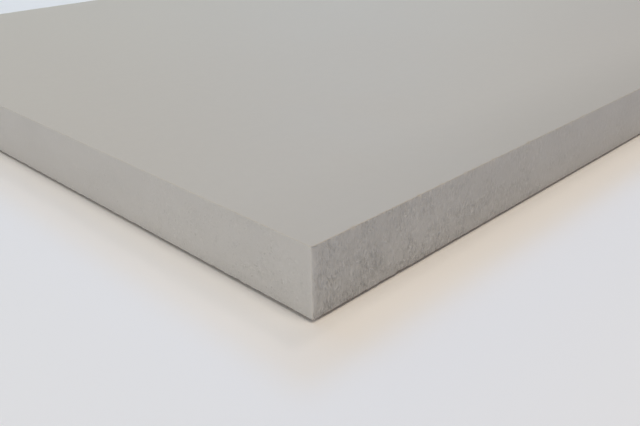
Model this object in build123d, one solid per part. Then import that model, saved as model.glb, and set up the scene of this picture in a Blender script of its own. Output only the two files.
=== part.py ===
"""Foam insulation board.

One slab of closed-cell foam, cut square to a stock size. The two broad faces are
flat, the four cut sides stand upright, and every arris is slightly eased, because
a blade leaves soft foam without a true knife edge. The origin is the middle of the
underside, with X along the length, Y across the width and Z up.
"""

import os

from build123d import *

# Stock size of the board, in millimetres
BOARD_LENGTH = 1000.0
BOARD_WIDTH = 500.0
BOARD_THICKNESS = 30.0

# Rounding that the cut leaves on the upright corners and on the two loops of arrises
CORNER_RADIUS = 0.8
TOP_ARRIS_RADIUS = 0.6
BOTTOM_ARRIS_RADIUS = 0.6


def foam_board():
    """The plan outline carried up through the thickness, then eased round both broad faces."""
    with BuildPart() as board:
        with BuildSketch(Plane.XY):
            RectangleRounded(BOARD_LENGTH, BOARD_WIDTH, CORNER_RADIUS)
        extrude(amount=BOARD_THICKNESS)
        top_face = board.faces().sort_by(Axis.Z)[-1]
        fillet(top_face.edges(), TOP_ARRIS_RADIUS)
        underside = board.faces().sort_by(Axis.Z)[0]
        fillet(underside.edges(), BOTTOM_ARRIS_RADIUS)
    return board.part


os.makedirs("parts", exist_ok=True)
export_step(foam_board(), "parts/foam_board.step")
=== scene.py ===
import math

import bpy
import numpy as np
from mathutils import Matrix, Vector


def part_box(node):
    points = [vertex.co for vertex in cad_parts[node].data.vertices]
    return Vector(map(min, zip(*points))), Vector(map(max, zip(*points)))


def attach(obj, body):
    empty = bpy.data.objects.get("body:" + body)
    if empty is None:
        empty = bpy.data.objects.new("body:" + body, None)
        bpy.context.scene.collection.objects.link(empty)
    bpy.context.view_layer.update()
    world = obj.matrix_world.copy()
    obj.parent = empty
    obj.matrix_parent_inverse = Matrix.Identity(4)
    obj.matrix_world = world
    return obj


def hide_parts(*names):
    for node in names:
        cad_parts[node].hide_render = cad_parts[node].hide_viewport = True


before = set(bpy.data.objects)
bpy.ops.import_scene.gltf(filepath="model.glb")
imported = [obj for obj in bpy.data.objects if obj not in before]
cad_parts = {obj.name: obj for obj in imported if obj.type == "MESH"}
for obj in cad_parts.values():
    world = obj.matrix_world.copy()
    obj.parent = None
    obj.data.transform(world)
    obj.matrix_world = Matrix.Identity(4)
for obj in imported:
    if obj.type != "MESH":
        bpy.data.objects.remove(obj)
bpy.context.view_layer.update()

# Foam board
# The whole object: one slab of light grey closed-cell foam, with a smooth skin above and below.
# A blade cuts its four sides square. The long sides are sawn and come out streaked and torn, the
# ends are sliced and show single open cells, and every arris is left a little round and ragged.

MM = 0.001
low_corner, high_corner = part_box("foam_board")
LENGTH, WIDTH, THICKNESS = high_corner - low_corner

# The foam is drawn up a little all round the rim of the underside, which leaves a gap below it
CORNER_RADIUS = 0.6 * MM
TOP_RADIUS = 0.35 * MM
BOTTOM_RADIUS = 0.3 * MM
RIM_GAP = 1.3 * MM
SIDE_FOOT = BOTTOM_RADIUS + 2 * RIM_GAP

# Points along each side, from the front round to the left end, and round each upright corner
FRONT_POINTS, RIGHT_POINTS, BACK_POINTS, LEFT_POINTS = 760, 232, 256, 640
CORNER_POINTS = 8
EVEN_REACH = 270 * MM
WIDENING_PER_METRE = 20.0
DENSITY_STEPS = 8

# Stations down each side, and how far the rings of the two broad faces are drawn in
ARRIS_STEPS = 5
SIDE_STEPS = 26
TOP_MARGINS = np.array([4.0, 2.0, 0.9, 0.35]) * MM
RIM_MARGINS = np.array([0.4, 1.5, 4.0, 8.0, 12.0]) * MM
INNER_MARGINS = np.array([20.0, 35.0, 60.0, 100.0, 160.0]) * MM


def graded_shares(side_length, points, even_reach):
    """Shares of a side from 0 to 1, one more than points, found as the inverse of a summed density:
    evenly spaced as far as even_reach, then wider in proportion to the way beyond it."""
    way = np.linspace(0.0, side_length, DENSITY_STEPS * points)
    density = 1.0 / (1.0 + WIDENING_PER_METRE * np.maximum(way - even_reach, 0.0))
    passed = np.concatenate(([0.0], np.cumsum((density[1:] + density[:-1]) / 2)))
    return np.interp(np.linspace(0.0, passed[-1], points + 1), passed, way) / side_length


def plan_outline():
    """The outline seen from above, anticlockwise from the near left corner, as two arrays: the
    rectangle on which the centres of rounding lie, and the outward direction at each point."""
    reach = np.array([LENGTH / 2 - CORNER_RADIUS, WIDTH / 2 - CORNER_RADIUS])
    corners = np.array([(-1, -1), (1, -1), (1, 1), (-1, 1)]) * reach
    front = graded_shares(2 * reach[0], FRONT_POINTS, EVEN_REACH)
    left = 1.0 - graded_shares(2 * reach[1], LEFT_POINTS, EVEN_REACH)[::-1]
    right = np.linspace(0.0, 1.0, RIGHT_POINTS + 1)
    back = np.linspace(0.0, 1.0, BACK_POINTS + 1)
    centres, angles = [], []
    for side, shares in enumerate((front, right, back, left)):
        start, end = corners[side], corners[(side + 1) % len(corners)]
        facing = (side - 1) * math.pi / 2
        centres += [start + (end - start) * shares[:-1, None], np.tile(end, (CORNER_POINTS, 1))]
        turn = np.linspace(0.0, math.pi / 2, CORNER_POINTS, endpoint=False)
        angles += [np.full(len(shares) - 1, facing), facing + turn]
    angles = np.concatenate(angles)
    return np.concatenate(centres), np.column_stack((np.cos(angles), np.sin(angles)))


def edge_profile():
    """The section of one side, from the top face round to the underside, one row to a station:
    inset from the upright side, height, lean of the surface from straight up, how far the whole
    outline is drawn in, and the share that the station takes of the gap below the rim."""
    turn = np.linspace(0.0, math.pi / 2, ARRIS_STEPS + 1)
    side = np.linspace(THICKNESS - TOP_RADIUS, SIDE_FOOT, SIDE_STEPS)[1:]
    top_flat, bottom_flat = np.ones(len(TOP_MARGINS)), np.ones(len(RIM_MARGINS))
    inset = np.concatenate((
        TOP_RADIUS * top_flat, TOP_RADIUS * (1 - np.sin(turn)), 0 * side,
        BOTTOM_RADIUS * (1 - np.cos(turn)), BOTTOM_RADIUS * bottom_flat))
    height = np.concatenate((
        THICKNESS * top_flat, THICKNESS - TOP_RADIUS * (1 - np.cos(turn)), side,
        BOTTOM_RADIUS * (1 - np.sin(turn)), 0 * bottom_flat))
    lean = np.concatenate((
        0 * top_flat, turn, np.full(len(side), math.pi / 2), math.pi / 2 + turn,
        math.pi * bottom_flat))
    above = np.zeros(len(TOP_MARGINS) + len(turn) + len(side))
    drawn_in = np.concatenate((TOP_MARGINS, 0 * turn, 0 * side, 0 * turn, RIM_MARGINS))
    gap_share = np.concatenate((above, np.ones(len(turn)), 1 - (RIM_MARGINS / RIM_MARGINS[-1]) ** 2))
    return inset, height, lean, drawn_in, gap_share


def ring(centres, outward, inset, drawn_in):
    """Plan points of one ring: the centres shrink towards the middle by drawn_in, and each point
    stands out from its centre by the corner radius less the inset."""
    reach = np.array([LENGTH / 2 - CORNER_RADIUS, WIDTH / 2 - CORNER_RADIUS])
    return centres * (reach - drawn_in) / reach + (CORNER_RADIUS - inset) * outward


# Streaks that the blade leaves on the sides, weaker on the sliced ends
SEED = 11
rng = np.random.default_rng(SEED)
SLICED_SHARE = 0.4
STREAK_WAVES = 60
STREAK_DEPTH = 0.03 * MM
STREAK_MIDDLE = 2.0
STREAK_SHORTEST, STREAK_LONGEST, STREAK_TALLEST = 1.8 * MM, 7.0 * MM, 9.0 * MM

# Bites torn out of the upper and lower arris, and how the gap below the rim wavers
TOP_BITES, TOP_BITE_DEPTH, TOP_BITE_WIDTHS = 1200, 0.09 * MM, (0.35 * MM, 1.1 * MM)
BOTTOM_BITES, BOTTOM_BITE_DEPTH, BOTTOM_BITE_WIDTHS = 700, 0.05 * MM, (0.4 * MM, 1.4 * MM)
BITE_SPREAD = 0.55 * MM
RIM_WAVES = 40
RIM_SHORTEST, RIM_LONGEST, RIM_TALLEST = 3.0 * MM, 16.0 * MM, 1.0 * MM
RIM_WAVER_LIMIT = 2.0
SAWN_RIM_WAVER, SLICED_RIM_WAVER = 0.02, 0.04

# A bruise at the near top corner, and the fall of the sawn sides beside the upright corners
BRUISE_PLACE = np.array([-LENGTH / 2 + 1.6 * MM, -WIDTH / 2, THICKNESS - 0.8 * MM])
BRUISE_SIZE = 1.3 * MM
BRUISE_DEPTH = 0.45 * MM
SHOULDER_REACH = 2.4 * MM
SHOULDER_DEPTH = 0.45 * MM
SHOULDER_FOOT_SHARE = 0.5

# A point is on a sawn side where its outward direction is nearer to Y than to X
SAWN_FACING = math.sqrt(0.5)
SKIN, SAWN, SLICED = 0, 1, 2


def random_waves(way, height, waves, shortest, longest, tallest):
    """A rough surface as a sum of cosine waves with random lengths, slants and phases."""
    across = 1.0 / rng.uniform(shortest, longest, waves)
    up = rng.uniform(-1.0, 1.0, waves) / tallest
    phase = rng.uniform(0.0, 2 * math.pi, waves)
    field = np.zeros((len(way), len(height)))
    for a, u, p in zip(across, up, phase):
        field += np.cos(2 * math.pi * (a * way[:, None] + u * height[None, :]) + p)
    return field / math.sqrt(waves / 2)


def bites(way, number, mean_depth, widths):
    """Depth torn from an arris along the outline: a sum of bell-shaped bites at random places."""
    place = rng.uniform(0.0, way[-1], number)
    depth = rng.exponential(mean_depth, number)
    width = rng.uniform(*widths, number)
    return (depth * np.exp(-((way[:, None] - place) / width) ** 2)).sum(axis=1)


def shoulder(band):
    """How far the sawn sides fall back beside the upright corners: a square law of the way from the
    end, fading by the same law with the way from the side, and less deep at the foot."""
    from_end = np.clip(1 - (LENGTH / 2 - np.abs(band[:, :, 0])) / SHOULDER_REACH, 0, 1)
    from_side = np.clip(1 - (WIDTH / 2 - np.abs(band[:, :, 1])) / SHOULDER_REACH, 0, 1)
    level = SHOULDER_FOOT_SHARE + (1 - SHOULDER_FOOT_SHARE) * band[:, :, 2] / THICKNESS
    return SHOULDER_DEPTH * level * (from_end * from_side) ** 2


def torn_depth(way, inset, drawn_in, height, lean, rough):
    """How far the blade tears the band away: the streaks, strongest where the surface is upright, plus
    the bites in both arrises, which fade as a bell curve with the way along the profile."""
    waves = random_waves(way, height, STREAK_WAVES, STREAK_SHORTEST, STREAK_LONGEST, STREAK_TALLEST)
    depth = STREAK_DEPTH * np.clip(STREAK_MIDDLE + waves, 0.0, 2 * STREAK_MIDDLE)
    depth = depth * rough[:, None] * np.sin(lean)
    top_tear = bites(way, TOP_BITES, TOP_BITE_DEPTH, TOP_BITE_WIDTHS) * rough
    bottom_tear = bites(way, BOTTOM_BITES, BOTTOM_BITE_DEPTH, BOTTOM_BITE_WIDTHS)
    along = np.concatenate(([0.0], np.cumsum(np.hypot(np.diff(inset + drawn_in), np.diff(height)))))
    top_middle = along[len(TOP_MARGINS)] + TOP_RADIUS * math.pi / 4
    bottom_middle = along[-1 - len(RIM_MARGINS)] - BOTTOM_RADIUS * math.pi / 4
    depth += top_tear[:, None] * np.exp(-((along - top_middle) / BITE_SPREAD) ** 2)
    depth += bottom_tear[:, None] * np.exp(-((along - bottom_middle) / BITE_SPREAD) ** 2)
    return depth


def wavering_gap(way, sawn):
    """The gap below the rim along the outline: its mean height times one plus clipped random waves."""
    ragged = random_waves(way, np.zeros(1), RIM_WAVES, RIM_SHORTEST, RIM_LONGEST, RIM_TALLEST)
    waver = np.where(sawn, SAWN_RIM_WAVER, SLICED_RIM_WAVER)[:, None]
    return RIM_GAP * (1 + np.clip(ragged, -RIM_WAVER_LIMIT, RIM_WAVER_LIMIT) * waver)


def closing_rings(centres, outward, stations, top, first_free):
    """Rings that close one broad face, each with half the points of the one outside it and joined to
    it by fans of three triangles, and one flat face in the middle. Gives the points and the faces."""
    edge = np.arange(len(centres)) * stations + (0 if top else stations - 1)
    radius, level = (TOP_RADIUS, THICKNESS) if top else (BOTTOM_RADIUS, 0.0)
    points, faces = [], []
    for margin in INNER_MARGINS:
        centres, outward = centres[::2], outward[::2]
        flat = ring(centres, outward, radius, margin)
        points.append(np.column_stack((flat, np.full(len(flat), level))))
        inner = first_free + np.arange(len(flat))
        first_free += len(flat)
        first, middle, last = edge[::2], edge[1::2], np.roll(edge[::2], -1)
        beside = np.roll(inner, -1)
        fans = np.concatenate((
            np.column_stack((first, middle, inner)),
            np.column_stack((middle, beside, inner)),
            np.column_stack((middle, last, beside))))
        faces += (fans if top else fans[:, ::-1]).tolist()
        edge = inner
    faces.append((edge if top else edge[::-1]).tolist())
    return np.concatenate(points), faces


def board_mesh():
    """A band that carries the edge profile round the outline, lifted below by the gap under the rim,
    worn away along its own facing by the torn depth and by a bell-shaped bruise, drawn back by the
    shoulders, and closed above and below by rings."""
    centres, outward = plan_outline()
    inset, height, lean, drawn_in, gap_share = edge_profile()
    around, stations = len(centres), len(height)
    plan = np.stack([ring(centres, outward, i, d) for i, d in zip(inset, drawn_in)], axis=1)
    band = np.concatenate((plan, np.tile(height, (around, 1))[:, :, None]), axis=2)
    facing = np.concatenate((
        outward[:, None, :] * np.sin(lean)[None, :, None],
        np.tile(np.cos(lean), (around, 1))[:, :, None]), axis=2)

    outline = centres + CORNER_RADIUS * outward
    way = np.concatenate(([0.0], np.cumsum(np.linalg.norm(np.diff(outline, axis=0), axis=1))))
    sawn = np.abs(outward[:, 1]) > SAWN_FACING
    depth = torn_depth(way, inset, drawn_in, height, lean, np.where(sawn, 1.0, SLICED_SHARE))
    band[:, :, 2] += wavering_gap(way, sawn) * gap_share
    bruise = np.linalg.norm(band - BRUISE_PLACE, axis=2)
    depth += BRUISE_DEPTH * np.exp(-(bruise / BRUISE_SIZE) ** 2)
    band -= depth[:, :, None] * facing
    band[:, :, 1] -= np.sign(band[:, :, 1]) * shoulder(band)

    here = np.arange(around)[:, None]
    after = (here + 1) % around
    row = np.arange(stations - 1)
    quads = np.stack((
        here * stations + row, here * stations + row + 1,
        after * stations + row + 1, after * stations + row), axis=2).reshape(-1, 4)
    on_side = (lean[:-1] + lean[1:]) / 2
    cut = (on_side > math.pi / 4) & (on_side < 3 * math.pi / 4)
    finish = np.where(cut[None, :], np.where(sawn[:, None], SAWN, SLICED), SKIN).ravel()

    above, top_faces = closing_rings(centres, outward, stations, True, around * stations)
    below, bottom_faces = closing_rings(centres, outward, stations, False, around * stations + len(above))
    faces = quads.tolist() + top_faces + bottom_faces
    finishes = finish.tolist() + [SKIN] * (len(top_faces) + len(bottom_faces))
    mesh = bpy.data.meshes.new("foam_board_cut")
    mesh.from_pydata(np.concatenate((band.reshape(-1, 3), above, below)).tolist(), [], faces)
    mesh.polygons.foreach_set("material_index", finishes)
    mesh.polygons.foreach_set("use_smooth", [True] * len(faces))
    mesh.update()
    return mesh


def shader_node(tree, kind, inputs, **settings):
    """One shader node. Settings are its own properties, and an input is a value or another's socket."""
    node = tree.nodes.new(kind)
    for name, value in settings.items():
        setattr(node, name, value)
    for key, value in inputs.items():
        if isinstance(value, bpy.types.NodeSocket):
            tree.links.new(value, node.inputs[key])
        else:
            node.inputs[key].default_value = value
    return node


def new_foam(name):
    """An empty foam material and its place in millimetres on the board."""
    material = bpy.data.materials.new(name)
    material.use_nodes = True
    tree = material.node_tree
    place = shader_node(tree, "ShaderNodeTexCoord", {}).outputs["Object"]
    scaled = shader_node(tree, "ShaderNodeVectorMath", {0: place, "Scale": 1.0 / MM}, operation="SCALE")
    return material, tree, scaled.outputs[0]


def stretched(tree, place, size):
    """Place divided by a cell size in millimetres along each axis."""
    shares = tuple(1.0 / s for s in size)
    return shader_node(tree, "ShaderNodeVectorMath", {0: place, 1: shares}, operation="MULTIPLY").outputs[0]


def noise(tree, place, size, detail=2.0):
    """Cloudy noise about a half, with blotches of the given size in millimetres along each axis."""
    spot = stretched(tree, place, size)
    return shader_node(tree, "ShaderNodeTexNoise", {"Vector": spot, "Scale": 1.0, "Detail": detail})


def ramp(tree, value, start, end, low, high):
    """Value taken smoothly from the range start to end into the range low to high."""
    return shader_node(tree, "ShaderNodeMapRange", {
        "Value": value, "From Min": start, "From Max": end, "To Min": low, "To Max": high},
        interpolation_type="SMOOTHSTEP").outputs[0]


def combine(tree, operation, first, second, third=0.0):
    """Two or three values joined by one operation of arithmetic."""
    inputs = {0: first, 1: second, 2: third}
    return shader_node(tree, "ShaderNodeMath", inputs, operation=operation).outputs[0]


# Nearly all of a noise lies between these two, about its middle
NOISE_LOW, NOISE_MIDDLE, NOISE_HIGH = 0.3, 0.5, 0.7


def mottled(tree, value, spread):
    """A tone about 1, darker and paler by up to the spread with a noise."""
    return ramp(tree, value, NOISE_LOW, NOISE_HIGH, 1.0 - spread, 1.0 + spread)


def swirled(tree, place, size, reach):
    """Place pushed about by up to half of reach, over blotches of the given size, in millimetres."""
    push = noise(tree, place, (size, size, size), 1.0).outputs["Color"]
    return shader_node(tree, "ShaderNodeVectorMath", {0: push, 1: (reach, reach, reach), 2: place},
                       operation="MULTIPLY_ADD").outputs[0]


PIT_FLOOR_SHARE = 0.4
PIT_LIP_SHARE = 1.5
PIT_CHOICE_BLUR = 0.03


def open_cells(tree, place, size, share, radius):
    """Cut cells as round pits in a share of the cells, as two values: the bowl, 1 in the middle of a
    pit and 0 outside it, and the lip, a ring round it. Size is the spacing in millimetres, radius a
    share of it."""
    spot = stretched(tree, place, size)
    cells = shader_node(tree, "ShaderNodeTexVoronoi", {"Vector": spot, "Scale": 1.0, "Randomness": 1.0})
    chosen = shader_node(tree, "ShaderNodeSeparateColor", {0: cells.outputs["Color"]}).outputs[0]
    gate = ramp(tree, chosen, 1.0 - share - PIT_CHOICE_BLUR, 1.0 - share + PIT_CHOICE_BLUR, 0.0, 1.0)
    off_centre = cells.outputs["Distance"]
    bowl = ramp(tree, off_centre, PIT_FLOOR_SHARE * radius, radius, 1.0, 0.0)
    bowl = combine(tree, "MULTIPLY", bowl, gate)
    whole = ramp(tree, off_centre, radius, PIT_LIP_SHARE * radius, 1.0, 0.0)
    whole = combine(tree, "MULTIPLY", whole, gate)
    return bowl, combine(tree, "SUBTRACT", whole, bowl)


FOAM_IOR = 1.45


def finish_foam(tree, colour, tone, height, relief, roughness):
    """Joins the colour times its tone, the bump and the roughness to the surface shader."""
    colour = shader_node(tree, "ShaderNodeVectorMath", {0: colour, "Scale": tone}, operation="SCALE")
    bump = shader_node(tree, "ShaderNodeBump", {"Height": height, "Strength": 1.0, "Distance": relief})
    surface = tree.nodes["Principled BSDF"]
    tree.links.new(colour.outputs[0], surface.inputs["Base Color"])
    tree.links.new(bump.outputs[0], surface.inputs["Normal"])
    tree.links.new(roughness, surface.inputs["Roughness"])
    surface.inputs["IOR"].default_value = FOAM_IOR


# The skin: its colour, the painted shade of the rim below, the sizes and strengths of its three noises,
# and a painted shade towards the front. Ways and heights are in millimetres, heights from the underside.
FOAM_COLOUR = (0.475, 0.452, 0.405)
# Painted shade: the drawn-up rim of the underside, in the gap below the board, is coloured dark brown
RIM_SHADE_COLOUR = (0.38, 0.29, 0.22)
SKIN_CLOUD, SKIN_CLOUD_DETAIL, SKIN_CLOUD_TONE = (60.0, 60.0, 60.0), 3.0, 0.01
SKIN_MOTTLE, SKIN_MOTTLE_TONE = (6.0, 6.0, 6.0), 0.005
SKIN_GRAIN, SKIN_GRAIN_TONE = (0.9, 0.9, 0.9), 0.005
SKIN_RELIEF = 0.01 * MM
SKIN_ROUGHNESS = (0.58, 0.62)
# Painted shade along the front of the skin: how far in from the front edge it reaches, and how deep it is
# along the length
FRONT_PAINTED_SHADE_RUN = (-10.0, 60.0)
FRONT_PAINTED_SHADE_LENGTH, FRONT_PAINTED_SHADE_TONES = (-20.0, 170.0), (0.962, 0.88)
RIM_SHADE_FROM, RIM_SHADE_TO = (0.1, 0.5), (3.0, 5.0)


def foam_skin():
    """The smooth broad faces: even and matt, with faint clouding and a very fine grain as products of
    tones about 1, a painted shade that deepens towards the front and along it, and a rim below painted
    dark brown as the shade in the gap under it."""
    material, tree, place = new_foam("foam_skin")
    cloud = noise(tree, place, SKIN_CLOUD, SKIN_CLOUD_DETAIL).outputs[0]
    mottle = noise(tree, place, SKIN_MOTTLE).outputs[0]
    grain = noise(tree, place, SKIN_GRAIN).outputs[0]
    tone = mottled(tree, cloud, SKIN_CLOUD_TONE)
    tone = combine(tree, "MULTIPLY", tone, mottled(tree, mottle, SKIN_MOTTLE_TONE))
    tone = combine(tree, "MULTIPLY", tone, mottled(tree, grain, SKIN_GRAIN_TONE))
    along, across, up = shader_node(tree, "ShaderNodeSeparateXYZ", {0: place}).outputs
    from_left = combine(tree, "ADD", along, LENGTH / 2 / MM)
    from_front = combine(tree, "ADD", across, WIDTH / 2 / MM)
    # Painted shade: the skin darkens towards the front edge, and more so further from the left end
    shade = ramp(tree, from_left, *FRONT_PAINTED_SHADE_LENGTH, *FRONT_PAINTED_SHADE_TONES)
    tone = combine(tree, "MULTIPLY", tone, ramp(tree, from_front, *FRONT_PAINTED_SHADE_RUN, shade, 1.0))
    # Painted shade: dark brown on the drawn-up rim of the underside, between these heights
    rim = combine(tree, "MULTIPLY", ramp(tree, up, *RIM_SHADE_FROM, 0.0, 1.0), ramp(tree, up, *RIM_SHADE_TO, 1.0, 0.0))
    rim_shade_shift = tuple(r - f for r, f in zip(RIM_SHADE_COLOUR, FOAM_COLOUR))
    colour = shader_node(tree, "ShaderNodeVectorMath", {0: rim, 1: rim_shade_shift, 2: FOAM_COLOUR},
                         operation="MULTIPLY_ADD").outputs[0]
    roughness = ramp(tree, cloud, NOISE_LOW, NOISE_HIGH, *SKIN_ROUGHNESS)
    finish_foam(tree, colour, tone, grain, SKIN_RELIEF, roughness)
    return material


# The cut sides: noises and pits in millimetres, then the ways from the near corner and the heights
# over which each effect comes or goes, with its share of the tearing or its tone at one end
SAWN_COLOUR = (0.467, 0.467, 0.467)
SLICED_COLOUR = (0.466, 0.458, 0.445)
SWIRL_SIZE, SWIRL_REACH = 4.2, 3.2
CUT_GRAIN, CUT_GRAIN_RELIEF = (0.45, 0.45, 0.55), 0.15
CUT_CLOUD, CUT_CLOUD_TONE = (30.0, 30.0, 18.0), 0.02
PATCH_SIZE, PATCH_DETAIL = (9.0, 9.0, 9.0), 1.0
PATCH_RANGE, PATCH_SHARES = (0.35, 0.62), (0.45, 1.15)
TORN_HEIGHTS, TORN_TOP_SHARE = (8.0, 24.0), 0.65
TORN_WAYS, TORN_FAR_SHARE = (20.0, 220.0), 0.32
CORNER_WAYS, CORNER_SHARE = (0.5, 4.0), 0.5
# The sides are darker towards the foot, between these heights
FOOT_DARKENING_HEIGHTS, FOOT_DARKENING_TONE = (0.5, 7.0), -0.07
SHADE_WAYS = (28.0, 50.0)
# A painted highlight: the sides are paler in the first few millimetres from the corner where they start
CORNER_HIGHLIGHT_WAYS, CORNER_HIGHLIGHT_TONE = (0.3, 2.5), 0.05
RAISED_DASH, SUNK_DASH = 1.2, 0.9
PIT_SPACING, PIT_RADIUS_SHARE = (2.6, 2.6, 2.6), 0.3
# The open cells carry painted shade in the bowl and a painted highlight on the lip
LIP_HIGHLIGHT_SHARE, LIP_RELIEF_SHARE = 0.6, 0.3
CUT_RELIEF = 0.3 * MM
CUT_ROUGHNESS = (0.75, 0.85)


def cut_foam(name, colour, axis, start, shade_tone, dash, calm, dash_tone, dash_relief, pit_share, pit_painted_shade,
             pit_relief):
    """A cut side: short upright dashes torn by the blade, paler and darker by turns, open cells with a
    painted shade in their bowls and a painted highlight on their lips, and a fine grain, added up in
    tone and in height.
    once it strays from its middle by more than calm. All of it is multiplied by how torn the side is:
    in patches, most near the start, where the blade went in, and low down, but less at the very corner.
    The tone also has a faint cloud, a darker stretch near the start, a painted highlight at the very
    corner, and it is darker towards the foot."""
    material, tree, place = new_foam(name)
    loose = swirled(tree, place, SWIRL_SIZE, SWIRL_REACH)
    dashes = noise(tree, loose, dash).outputs[0]
    grain = noise(tree, place, CUT_GRAIN).outputs[0]
    bowl, lip = open_cells(tree, loose, PIT_SPACING, pit_share, PIT_RADIUS_SHARE)
    cloud = noise(tree, place, CUT_CLOUD).outputs[0]
    patch = noise(tree, place, PATCH_SIZE, PATCH_DETAIL).outputs[0]
    spot = shader_node(tree, "ShaderNodeSeparateXYZ", {0: place})
    way, up = combine(tree, "SUBTRACT", spot.outputs[axis], start), spot.outputs["Z"]

    torn = combine(tree, "MULTIPLY", ramp(tree, up, *TORN_HEIGHTS, 1.0, TORN_TOP_SHARE),
                   ramp(tree, way, *TORN_WAYS, 1.0, TORN_FAR_SHARE))
    torn = combine(tree, "MULTIPLY", torn, ramp(tree, way, *CORNER_WAYS, CORNER_SHARE, 1.0))
    torn = combine(tree, "MULTIPLY", torn, ramp(tree, patch, *PATCH_RANGE, *PATCH_SHARES))
    raised = ramp(tree, dashes, NOISE_MIDDLE + calm, NOISE_HIGH, 0.0, RAISED_DASH)
    sunk = ramp(tree, dashes, NOISE_LOW, NOISE_MIDDLE - calm, SUNK_DASH, 0.0)
    wave = combine(tree, "MULTIPLY", combine(tree, "SUBTRACT", raised, sunk), torn)
    bowl = combine(tree, "MULTIPLY", bowl, torn)
    lip = combine(tree, "MULTIPLY", lip, torn)

    tone = combine(tree, "MULTIPLY_ADD", wave, dash_tone, mottled(tree, cloud, CUT_CLOUD_TONE))
    # Painted shade in the bowls of the open cells, and a painted highlight on their lips
    tone = combine(tree, "MULTIPLY_ADD", bowl, -pit_painted_shade, tone)
    tone = combine(tree, "MULTIPLY_ADD", lip, LIP_HIGHLIGHT_SHARE * pit_painted_shade, tone)
    tone = combine(tree, "ADD", tone, ramp(tree, way, *SHADE_WAYS, shade_tone, 0.0))
    # The sides are darker towards the foot
    tone = combine(tree, "ADD", tone, ramp(tree, up, *FOOT_DARKENING_HEIGHTS, FOOT_DARKENING_TONE, 0.0))
    # Painted highlight: paler close to the upright corner at the start of the side, where it turns to the
    # light
    tone = combine(tree, "ADD", tone, ramp(tree, way, *CORNER_HIGHLIGHT_WAYS, CORNER_HIGHLIGHT_TONE, 0.0))
    height = combine(tree, "MULTIPLY", grain, CUT_GRAIN_RELIEF)
    height = combine(tree, "MULTIPLY_ADD", wave, dash_relief, height)
    height = combine(tree, "MULTIPLY_ADD", bowl, -pit_relief, height)
    height = combine(tree, "MULTIPLY_ADD", lip, LIP_RELIEF_SHARE * pit_relief, height)
    roughness = ramp(tree, dashes, NOISE_LOW, NOISE_HIGH, *CUT_ROUGHNESS)
    finish_foam(tree, colour, tone, height, CUT_RELIEF, roughness)
    return material


board = bpy.data.objects.new("board", board_mesh())
bpy.context.scene.collection.objects.link(board)
board.data.materials.append(foam_skin())
board.data.materials.append(cut_foam(
    "sawn_foam", SAWN_COLOUR, axis="X", start=-LENGTH / 2 / MM, shade_tone=-0.035,
    dash=(0.85, 0.85, 2.5), calm=0.0, dash_tone=0.22, dash_relief=0.9,
    pit_share=0.6, pit_painted_shade=0.07, pit_relief=0.4))
board.data.materials.append(cut_foam(
    "sliced_foam", SLICED_COLOUR, axis="Y", start=-WIDTH / 2 / MM, shade_tone=0.0,
    dash=(0.8, 0.8, 1.5), calm=0.05, dash_tone=0.09, dash_relief=0.3,
    pit_share=0.8, pit_painted_shade=0.09, pit_relief=0.35))
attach(board, "root")
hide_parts("foam_board")

# Floor
# A plain pale table top, matt and level, that the board lies on. Far off it passes into a plain pale
# backdrop, which only shows and lights nothing. Neither is part of the object.

FLOOR_REACH = 6.0
FLOOR_COLOUR = (0.83, 0.85, 0.869, 1.0)
FLOOR_ROUGHNESS = 0.6
BACKDROP_COLOUR = (0.73, 0.74, 0.76, 1.0)
BACKDROP_START, BACKDROP_END = 1.1, 2.1


def looked_at(tree):
    """1 where the eye looks straight, by a reflection or through glass, and 0 for light that falls."""
    path = shader_node(tree, "ShaderNodeLightPath", {})
    seen = combine(tree, "MAXIMUM", path.outputs["Is Camera Ray"], path.outputs["Is Glossy Ray"])
    return combine(tree, "MAXIMUM", seen, path.outputs["Is Transmission Ray"])


floor_mesh = bpy.data.meshes.new("floor")
floor_corners = np.array([(-1, -1, 0), (1, -1, 0), (1, 1, 0), (-1, 1, 0)]) * FLOOR_REACH
floor_mesh.from_pydata(floor_corners.tolist(), [], [(0, 1, 2, 3)])
floor = bpy.data.objects.new("floor", floor_mesh)
bpy.context.scene.collection.objects.link(floor)
floor_paint = bpy.data.materials.new("pale_floor")
floor_paint.use_nodes = True
floor_tree = floor_paint.node_tree
floor_shader = floor_tree.nodes["Principled BSDF"]
floor_shader.inputs["Base Color"].default_value = FLOOR_COLOUR
floor_shader.inputs["Roughness"].default_value = FLOOR_ROUGHNESS
floor_place = shader_node(floor_tree, "ShaderNodeTexCoord", {}).outputs["Object"]
far_off = shader_node(floor_tree, "ShaderNodeVectorMath", {0: floor_place}, operation="LENGTH")
far_share = combine(floor_tree, "MULTIPLY", looked_at(floor_tree),
                    ramp(floor_tree, far_off.outputs["Value"], BACKDROP_START, BACKDROP_END, 0.0, 1.0))
far_look = shader_node(floor_tree, "ShaderNodeEmission", {"Color": BACKDROP_COLOUR})
floor_look = shader_node(floor_tree, "ShaderNodeMixShader", {
    0: far_share, 1: floor_shader.outputs[0], 2: far_look.outputs[0]})
floor_tree.links.new(floor_look.outputs[0], floor_tree.nodes["Material Output"].inputs["Surface"])
floor_paint.cycles.emission_sampling = "NONE"
floor_mesh.materials.append(floor_paint)

# Light
# Dim room light from all round, with a warm lamp overhead, wide softboxes to the left and in front, a
# low strip and a cool sky behind, and two windows behind that throw the soft borders of the shadow.

ROOM_COLOUR = (0.20, 0.20, 0.20, 1.0)
LAMP_DISTANCE = 3.0

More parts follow.
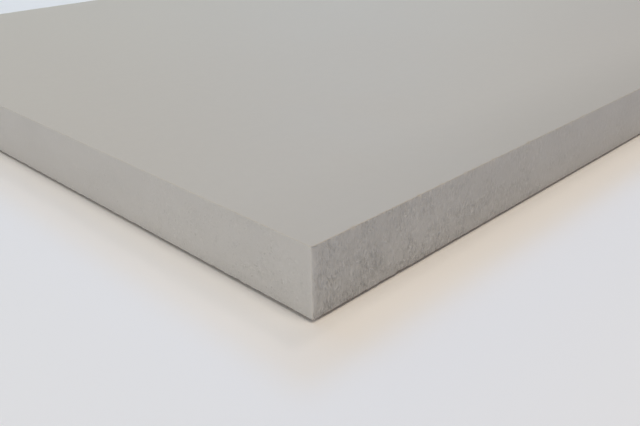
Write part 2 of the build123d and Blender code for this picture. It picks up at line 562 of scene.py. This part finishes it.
world = bpy.data.worlds.new("room")
bpy.context.scene.world = world
world.use_nodes = True
room_tree = world.node_tree
room_light = room_tree.nodes["Background"]
room_light.inputs["Color"].default_value = ROOM_COLOUR
room_backdrop = shader_node(room_tree, "ShaderNodeBackground", {"Color": BACKDROP_COLOUR})
room_look = shader_node(room_tree, "ShaderNodeMixShader", {
    0: looked_at(room_tree), 1: room_light.outputs[0], 2: room_backdrop.outputs[0]})
room_tree.links.new(room_look.outputs[0], room_tree.nodes["World Output"].inputs["Surface"])

near_corner = Vector((-LENGTH / 2, -WIDTH / 2, THICKNESS))


def softbox(name, heading, rise, size, watts):
    """An oblong lamp off from the near corner, turned to face it, its first size level. Heading and
    rise are degrees from +X and from level, watts the power in red, green and blue."""
    lamp = bpy.data.lights.new(name, "AREA")
    lamp.shape = "RECTANGLE"
    lamp.size, lamp.size_y = size
    lamp.energy = max(watts)
    lamp.color = [w / lamp.energy for w in watts]
    holder = bpy.data.objects.new(name, lamp)
    bpy.context.scene.collection.objects.link(holder)
    turn, lift = math.radians(heading), math.radians(rise)
    towards = Vector((math.cos(turn) * math.cos(lift), math.sin(turn) * math.cos(lift), math.sin(lift)))
    holder.location = near_corner + LAMP_DISTANCE * towards
    holder.rotation_euler = towards.to_track_quat("Z", "Y").to_euler()
    holder.visible_camera = False


softbox("overhead", 270, 75, (1.0, 1.0), (38.2, 30.9, 23.0))
softbox("left", 180, 15, (1.8, 1.8), (39.1, 37.5, 34.9))
softbox("front", 285, 35, (1.8, 1.8), (8.7, 7.5, 6.9))
softbox("behind", 60, 12, (4.0, 1.2), (12.3, 11.2, 5.6))
softbox("high_window", 21.7, 60.8, (0.48, 0.39), (7.1, 5.9, 5.0))
softbox("cool_window", 41.3, 38.4, (0.75, 0.75), (1.5, 6.6, 14.5))
softbox("cool_sky", 75, 50, (2.0, 2.0), (0.0, 5.2, 12.1))

# Camera
# It stands before the near left corner, a little above the board, and looks down along the diagonal.

CAMERA_OFFSET = Vector((-150.599, -155.303, 114.616)) * MM
CAMERA_HEADING = math.radians(44.897)
CAMERA_PITCH = math.radians(25.2937)
CAMERA_ROLL = math.radians(0.9618)
CAMERA_LENS = 41.868
CAMERA_NEAR = 10 * MM
SENSOR_WIDTH = 36.0

camera = bpy.data.objects.new("camera", bpy.data.cameras.new("camera"))
bpy.context.scene.collection.objects.link(camera)
camera.data.sensor_fit = "HORIZONTAL"
camera.data.sensor_width = SENSOR_WIDTH
camera.data.lens = CAMERA_LENS
camera.data.clip_start = CAMERA_NEAR
camera.matrix_world = (
    Matrix.Translation(near_corner + CAMERA_OFFSET)
    @ Matrix.Rotation(-CAMERA_HEADING, 4, "Z")
    @ Matrix.Rotation(math.pi / 2 - CAMERA_PITCH, 4, "X")
    @ Matrix.Rotation(-CAMERA_ROLL, 4, "Z"))
bpy.context.scene.camera = camera
bpy.context.scene.view_settings.view_transform = "Standard"
